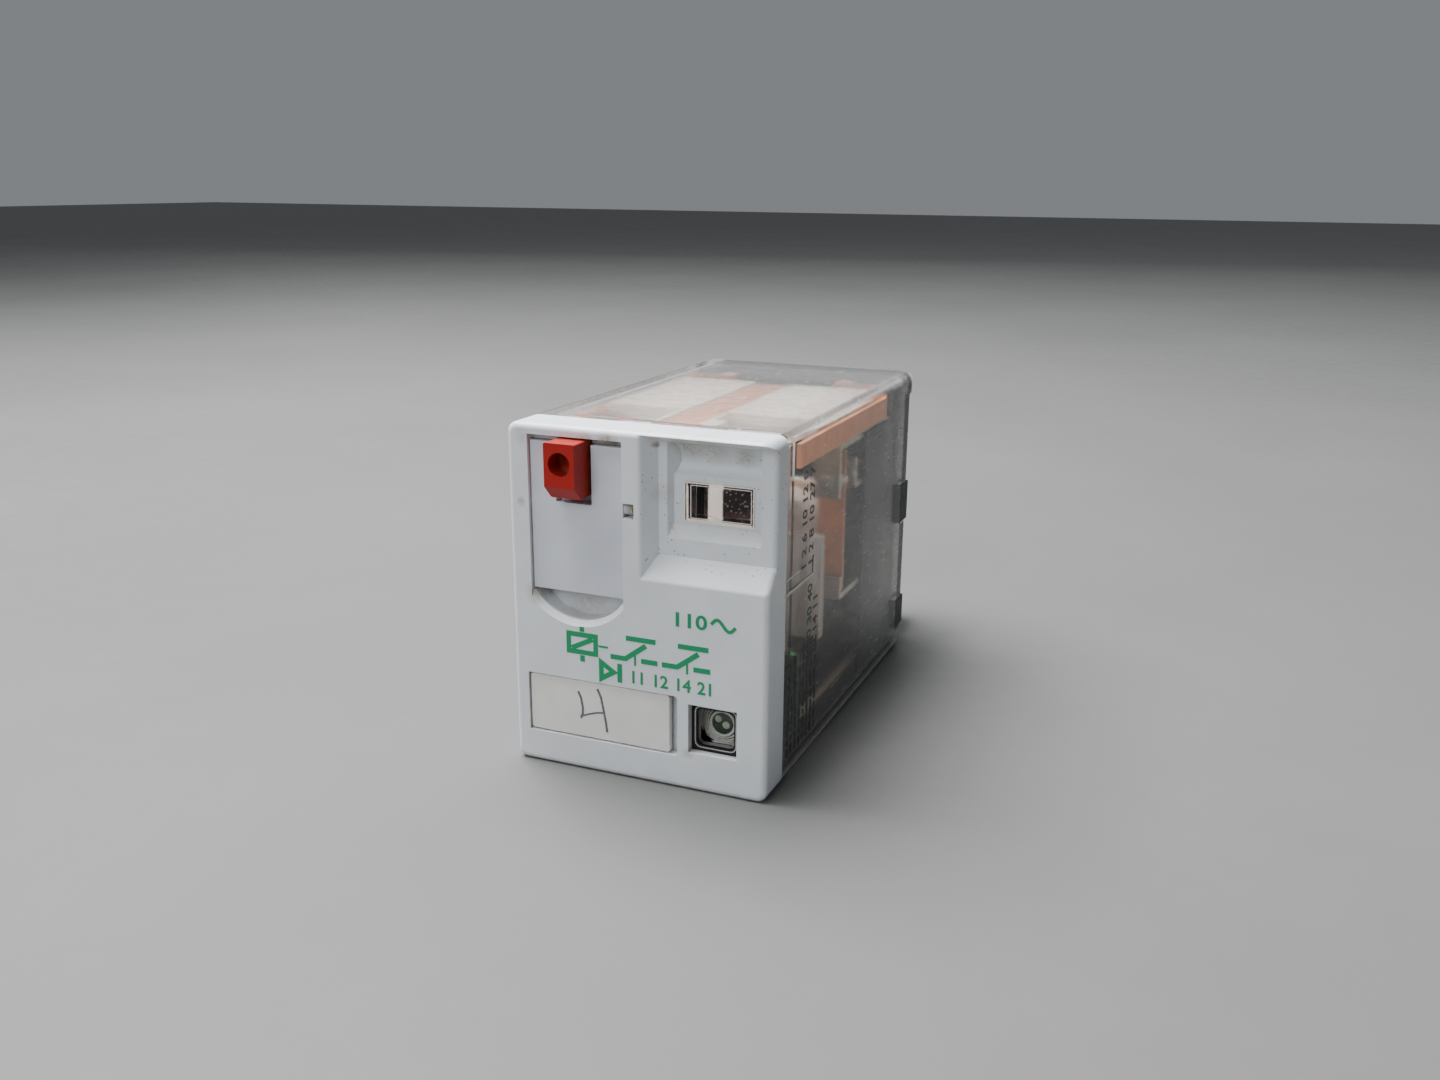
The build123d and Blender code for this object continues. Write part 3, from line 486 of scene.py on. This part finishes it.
def face_print(material):
    """Green contact diagram, terminal numbers and a rating on the face."""
    art = Print(FACE_INK)
    bold, fine = 0.40, 0.17
    art.line([(-5.65, 9.7), (-5.65, 11.1), (-3.35, 11.1), (-3.35, 9.7)], bold, True)
    art.line([(-5.4, 9.95), (-3.6, 10.85)], bold)
    art.line([(-4.5, 11.35), (-4.5, 11.75)], bold)
    art.line([(-4.5, 9.45), (-4.5, 8.95)], bold)
    art.line([(-3.1, 10.4), (-2.3, 10.4)], fine)
    for left in (-2.1, 2.15):
        art.line([(left, 9.75), (left + 1.25, 9.75), (left + 2.95, 11.0)], bold)
        art.line([(left + 1.3, 11.4), (left + 3.75, 11.4)], bold)
        art.line([(left + 2.55, 9.75), (left + 3.9, 9.75)], bold)
        art.line([(left + 2.05, 10.2), (left + 2.05, 9.3)], fine)
    art.line([(-2.9, 7.85), (-2.9, 9.15), (-1.85, 8.5)], bold, True)
    art.line([(-1.35, 7.75), (-1.35, 9.25)], bold)
    for text, x in (("11", -0.55), ("12", 1.3), ("14", 3.15), ("21", 5.0)):
        art.figures(text, x, 7.9, 0.95, weight=0.03)
    art.figures("110", 2.95, 12.95, 1.05, 1.25, 0.035)
    art.line(sine(6.1, 13.45, 1.9, 0.40), 0.26)
    art.finish("face_print", material)


def sine(x, y, length, swing):
    """One wave, as points."""
    steps = 14
    shares = [i / steps for i in range(steps + 1)]
    return [(x + length * share, y + swing * math.sin(2 * math.pi * share)) for share in shares]


def side_print(material):
    """Dark columns of figures and bars on the clear right side, read upwards."""
    art = Print(side_plane())
    dice = random.Random(7)
    for text, start, depth in (("1 2 6 10 12 0", 15.9, 7.9), ("1 2 8 10 27 7", 15.9, 9.5),
                               ("6 20 30 40", 8.2, 9.5), ("12 14 11", 8.2, 10.9)):
        art.figures(text, start, -depth, 1.0, 1.0, 0.03)
    for row in range(8):
        depth = 4.4 + 0.9 * row
        start = 1.9
        while start < 9.6:
            length = dice.uniform(0.35, 1.5)
            art.line([(start, -depth), (min(start + length, 10.0), -depth)], 0.42)
            start += length + 0.22
    art.finish("side_print", material)


def grip_edges(material):
    """Pale worn edges of the shallow grip on the clear right side."""
    art = Print(side_plane())
    art.line([(15.1, -3.3), (15.1, -9.8), (16.5, -9.8)], 0.24)
    art.line([(16.2, -3.3), (16.2, -6.6)], 0.12)
    art.finish("grip_edges", material)


def pencil_mark(material):
    """A figure four, written by hand on the legend plate."""
    art = Print(Matrix.Translation((0, 0.13 * MM, 0)) @ FACE_INK)
    art.line([(-5.02, 6.4), (-4.78, 5.9), (-4.64, 5.1), (-4.66, 4.6), (-4.82, 4.2)], 0.2)
    art.line([(-4.86, 4.35), (-4.2, 4.62), (-3.4, 4.88), (-2.7, 4.98)], 0.15)
    art.line([(-3.35, 6.85), (-3.05, 6.2), (-2.85, 5.2), (-2.66, 4.2), (-2.56, 3.4)], 0.2)
    art.finish("pencil_mark", material)


# ---------------------------------------------------------------- lamp and window details

LED_CENTRE = (6.20, 4.90)     # x and height of the lamp's axis
# depths behind the face
PANE_DEPTH = 0.66             # painted-highlight bead and painted-shade liner at the lamp's clear pane
LINER_BACK = 0.90             # rear of the dark liner that paints shade on the walls of the lamp's hole
PLUG_DEPTH = 1.96             # painted-highlight bead round the window's clear plug
LENS_TIP = 1.72               # cone of the painted glint rings of the lens, on the axis
LENS_SLOPE = 0.475            # how much deeper that cone gets per mm of radius
CUP_FRONT = 2.12
CUP_BACK = 2.24
DOT_RIM = 2.14                # where the dome of each dot in the cup starts
DOT_BACK = 2.20


def turned(name, profiles, material, centre=LED_CENTRE):
    """Rings and discs turned about an axis through the face: profiles of (radius, depth) in mm."""
    steps = 48
    mesh = bmesh.new()
    for profile in profiles:
        rows = []
        for radius, depth in profile:
            ring = []
            for i in range(steps):
                angle = 2 * math.pi * i / steps
                x = centre[0] + radius * math.cos(angle)
                height = centre[1] + radius * math.sin(angle)
                ring.append(mesh.verts.new(place(x, depth, height)))
            rows.append(ring)
        for a, b in zip(rows, rows[1:] + rows[:1]):
            for i in range(steps):
                j = (i + 1) % steps
                mesh.faces.new((a[i], a[j], b[j], b[i]))
    return finish_piece(name, mesh, material)


def finish_piece(name, mesh, material):
    """Turns a bmesh into a shaded piece that rides on the housing."""
    bmesh.ops.recalc_face_normals(mesh, faces=mesh.faces)
    data = bpy.data.meshes.new(name)
    mesh.to_mesh(data)
    mesh.free()
    data.materials.append(material)
    piece = bpy.data.objects.new(name, data)
    bpy.context.scene.collection.objects.link(piece)
    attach(piece, "housing")
    return piece


def round_section(radius, depth, thickness):
    """Profile of a ring with a round section."""
    steps = 10
    turn = [2 * math.pi * i / steps for i in range(steps)]
    return [(radius + thickness * math.cos(a), depth + thickness * math.sin(a)) for a in turn]


def lamp_details(shine, core, chip):
    """Bright rings of painted glints on the lamp's lens, its dark cup and the two pale dots in it."""
    # painted reflection rings in the lens dome: radius and thickness
    steps = [(1.90, 0.11), (1.66, 0.09), (1.44, 0.08), (1.22, 0.07), (0.97, 0.11)]
    sections = []
    for radius, thickness in steps:
        sections.append(round_section(radius, LENS_TIP + LENS_SLOPE * radius, thickness))
    turned("lens_glint_rings", sections, shine)
    front = [(0.02, CUP_FRONT), (0.60, CUP_FRONT + 0.04), (0.88, CUP_FRONT + 0.06)]
    back = [(0.88, CUP_BACK), (0.02, CUP_BACK)]
    turned("lamp_cup", [front + back], core)
    for name, x, height, size in (("lamp_chip", -0.34, 0.34, 0.28), ("lamp_post", 0.28, -0.08, 0.30)):
        dome = []
        for angle in (0, 0.4, 0.8, 1.2, 1.5):
            dome.append((size * math.cos(angle), DOT_RIM - 0.35 * size * math.sin(angle)))
        base = [(0.02, DOT_BACK), (size, DOT_BACK)]
        turned(name, [dome + base], chip, (LED_CENTRE[0] + x, LED_CENTRE[1] + height))


def pane_highlight_bead(material):
    """Grey bead round the lamp's clear pane, a painted highlight on the pane's edge."""
    art = Print(Matrix.Translation((0, PANE_DEPTH * MM, 0)) @ FACE_INK)
    art.line(rounded(4.58, 3.38, 7.86, 6.64, 0.45), 0.09, True)
    art.finish("pane_highlight_bead", material)


def window_highlight_bead(material):
    """Pale bead round the window's clear plug, wider along its sill, with the plug's inner edge:
    painted highlights on the plug's bevels.
    """
    art = Print(Matrix.Translation((0, PLUG_DEPTH * MM, 0)) @ FACE_INK)
    art.line(rounded(3.11, 20.37, 8.50, 23.28, 0.05), 0.10, True)
    art.line([(3.25, 20.52), (8.40, 20.50)], 0.16)
    art.line(rounded(3.62, 20.66, 8.32, 23.10, 0.05), 0.05, True)
    art.finish("window_highlight_bead", material)


def rounded(x0, z0, x1, z1, r):
    """Corners of a rectangle, each rounded by a few points."""
    points = []
    low, high = (x0 + r, z0 + r), (x1 - r, z1 - r)
    lower = ((low[0], low[1], 180), (high[0], low[1], 270))
    upper = ((high[0], high[1], 0), (low[0], high[1], 90))
    for cx, cz, start in lower + upper:
        for step in range(4):
            angle = math.radians(start + 30 * step)
            points.append((cx + r * math.cos(angle), cz + r * math.sin(angle)))
    return points


def hole_shade_liner(material):
    """Dark liner of the lamp's hole, painted shade on the hole's walls."""
    mesh = bmesh.new()
    outer = rounded(4.29, 3.09, 8.15, 6.93, 0.06)
    inner = rounded(4.74, 3.54, 7.70, 6.48, 0.45)
    rows = []
    corners = ((outer, PANE_DEPTH), (outer, LINER_BACK), (inner, LINER_BACK), (inner, PANE_DEPTH))
    for outline, depth in corners:
        rows.append([mesh.verts.new(place(x, depth, height)) for x, height in outline])
    for a, b in zip(rows, rows[1:] + rows[:1]):
        for i in range(len(a)):
            j = (i + 1) % len(a)
            mesh.faces.new((a[i], a[j], b[j], b[i]))
    finish_piece("hole_shade_liner", mesh, material)


# ---------------------------------------------------------------- stage

def softbox(name, location, target, size, power, colour=(1.0, 1.0, 1.0)):
    """Rectangular area light that faces the target."""
    data = bpy.data.lights.new(name, "AREA")
    data.shape = "RECTANGLE"
    data.size, data.size_y = size
    data.energy = power
    data.color = colour
    light = bpy.data.objects.new(name, data)
    light.location = location
    light.rotation_euler = (target - location).to_track_quat("-Z", "Y").to_euler()
    bpy.context.scene.collection.objects.link(light)


def set_stage():
    """Plain floor, soft world light and three softboxes."""
    half = 1.5
    mesh = bpy.data.meshes.new("floor")
    corners = [(-half, -half), (half, -half), (half, half), (-half, half)]
    mesh.from_pydata([(x, y, FLOOR) for x, y in corners], [], [(0, 1, 2, 3)])
    floor = bpy.data.objects.new("floor", mesh)
    bpy.context.scene.collection.objects.link(floor)
    g = Graph("pale_floor")
    g.colour(g.mix((0.122, 0.122, 0.117), (0.158, 0.158, 0.151), g.noise(0.02, 4)))
    g.roughness(g.ramp(g.noise(0.3, 3), [(0.3, 0.50), (0.7, 0.60)]))
    g.set(specular_ior_level=0.25)
    floor.data.materials.append(g.material)

    world = bpy.data.worlds.new("soft_light")
    world.use_nodes = True
    background = world.node_tree.nodes["Background"]
    background.inputs["Color"].default_value = (0.90, 0.94, 1.0, 1.0)
    background.inputs["Strength"].default_value = 0.24
    bpy.context.scene.world = world

    middle = place(0, 15, 15)
    above = middle + Vector((-0.14, 0.03, 0.33))
    ahead = middle + Vector((-0.06, -0.42, 0.26))
    behind = middle + Vector((-0.15, 0.60, 0.15))
    softbox("top_softbox", above, middle, (0.26, 0.28), 6.2, (0.96, 0.98, 1.0))
    softbox("front_softbox", ahead, middle, (0.25, 0.25), 1.1, (0.95, 0.98, 1.0))
    softbox("rear_softbox", behind, middle, (0.80, 0.09), 0.3)


def set_camera():
    """Camera at the height and angle from which the relay is seen, a little rolled."""
    azimuth = math.radians(22.63)
    elevation = math.radians(15.81)
    roll = math.radians(0.42)
    distance = 90.47 * MM
    target = place(6.737, 0, 19.851)
    level = math.cos(elevation)
    back = Vector((math.sin(azimuth) * level, -math.cos(azimuth) * level, math.sin(elevation)))
    right = (-back).cross(Vector((0, 0, 1))).normalized()
    up = right.cross(-back)
    rolled_right = math.cos(roll) * right + math.sin(roll) * up
    rolled_up = math.cos(roll) * up - math.sin(roll) * right
    data = bpy.data.cameras.new("camera")
    data.lens = 32.1
    data.sensor_width = 36.0
    data.clip_start = 0.001
    camera = bpy.data.objects.new("camera", data)
    turn = Matrix((rolled_right, rolled_up, back)).transposed().to_4x4()
    camera.matrix_world = Matrix.Translation(target + back * distance) @ turn
    bpy.context.scene.collection.objects.link(camera)
    bpy.context.scene.camera = camera


set_camera()
set_stage()
dress_nodes()
face_print(ink("green_ink", (0.003, 0.25, 0.095), 0.08))
side_print(ink("dark_ink", (0.018, 0.015, 0.014), 0.0))
grip_edges(ink("worn_edge", (0.46, 0.43, 0.40), 0.5))
pencil_mark(ink("pencil_lead", (0.11, 0.105, 0.11), 0.5))
hole_shade_liner(moulded_plastic("hole_shade_black", (0.012, 0.012, 0.011), 0.5, 0.0, gloss=0.2))
pane_highlight_bead(ink("pane_highlight_grey", (0.34, 0.33, 0.32), 0.4))
window_highlight_bead(ink("window_highlight_cream", (0.88, 0.78, 0.70), 0.3))
lamp_details(ink("lens_shine", (0.62, 0.64, 0.60), 0.6), ink("cup_green", (0.035, 0.055, 0.035), 0.5),
             ink("chip_pale", (0.36, 0.44, 0.33), 0.7))
